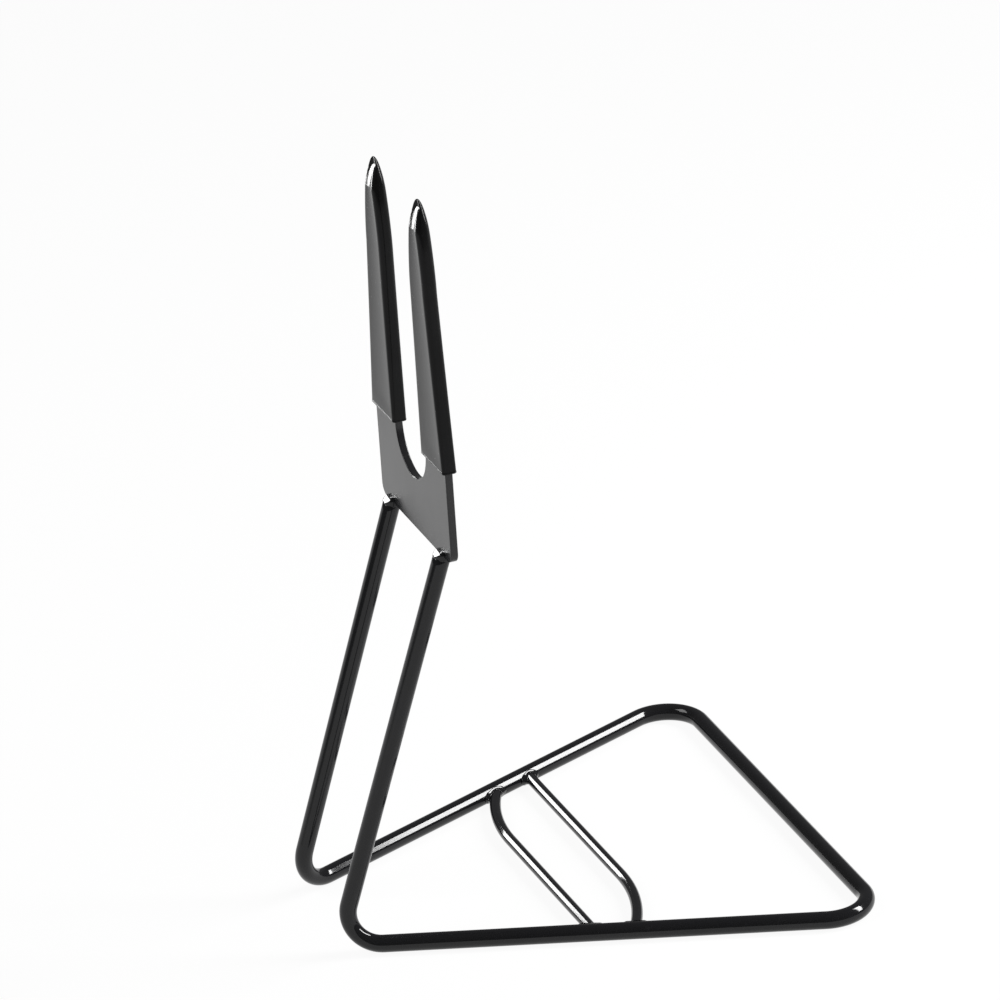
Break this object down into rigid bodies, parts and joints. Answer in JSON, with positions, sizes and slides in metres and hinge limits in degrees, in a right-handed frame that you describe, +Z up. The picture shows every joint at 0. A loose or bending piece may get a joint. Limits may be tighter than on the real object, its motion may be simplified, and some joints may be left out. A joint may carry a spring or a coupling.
{
  "type": "floor bike rack",
  "caption": "Freestanding black steel floor rack for one bicycle wheel: bent rod base with two legs, cross bars for the tyre and a slotted plate with sleeved prongs.",
  "frame": {"origin": "on the floor, under the middle of the bounding box", "axes": "+Z up, +X from the two legs towards the rear bar of the base; the nodes named left are on +Y and those named right on -Y"},
  "size_m": [0.2622, 0.27, 0.4022],
  "materials": {
    "rod_paint": "gloss black paint on steel rod",
    "plate_paint": "satin black paint on steel plate",
    "weld_paint": "gloss black paint over a rippled weld bead",
    "sleeve": "satin soft black sleeve"
  },
  "bodies": {
    "root": {"frame_rod": "rod_paint", "wheel_bar_front": "rod_paint", "wheel_bar_rear": "rod_paint", "fork_plate": "plate_paint", "sleeve_left": "sleeve", "sleeve_right": "sleeve", "weld_leg_left": "weld_paint", "weld_leg_right": "weld_paint", "weld_bar_front_left": "weld_paint", "weld_bar_front_right": "weld_paint", "weld_bar_rear_left": "weld_paint", "weld_bar_rear_right": "weld_paint"}
  },
  "joints": []
}
